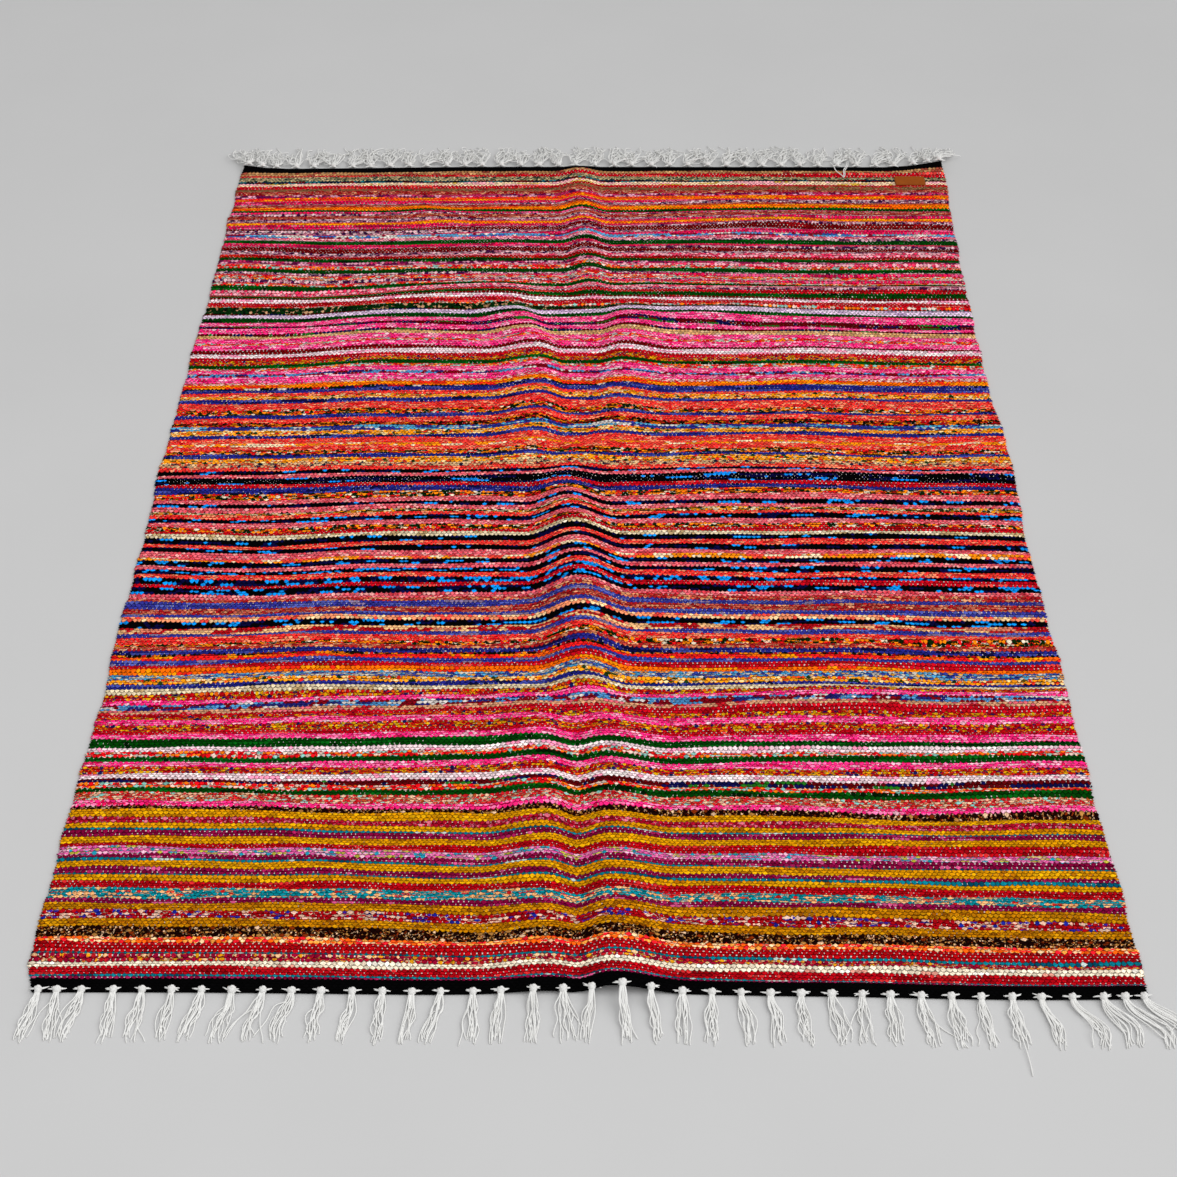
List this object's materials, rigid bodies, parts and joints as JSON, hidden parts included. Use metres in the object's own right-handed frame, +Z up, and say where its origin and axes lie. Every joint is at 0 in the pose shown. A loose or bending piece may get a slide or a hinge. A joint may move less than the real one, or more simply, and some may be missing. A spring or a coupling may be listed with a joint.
{
  "type": "striped rug",
  "caption": "Flat-woven striped rug of mixed coloured yarns with knotted white fringes at both ends, lying flat with soft fold ridges along its middle.",
  "frame": {"origin": "on the floor, under the middle of the whole rug with its fringes", "axes": "+X across the width, +Y along the length towards the end with the leather patch, +Z up from the floor"},
  "size_m": [1.4676, 2.176, 0.0365],
  "materials": {
    "woven_cloth": "matte plain weave of mixed coloured yarns in stripes",
    "cotton_fringe": "matte twisted white cotton",
    "leather": "smooth tan leather with a soft sheen"
  },
  "bodies": {
    "root": {"rug_cloth": "woven_cloth", "fringe_near": "cotton_fringe", "fringe_far": "cotton_fringe", "leather_patch": "leather"}
  },
  "joints": []
}
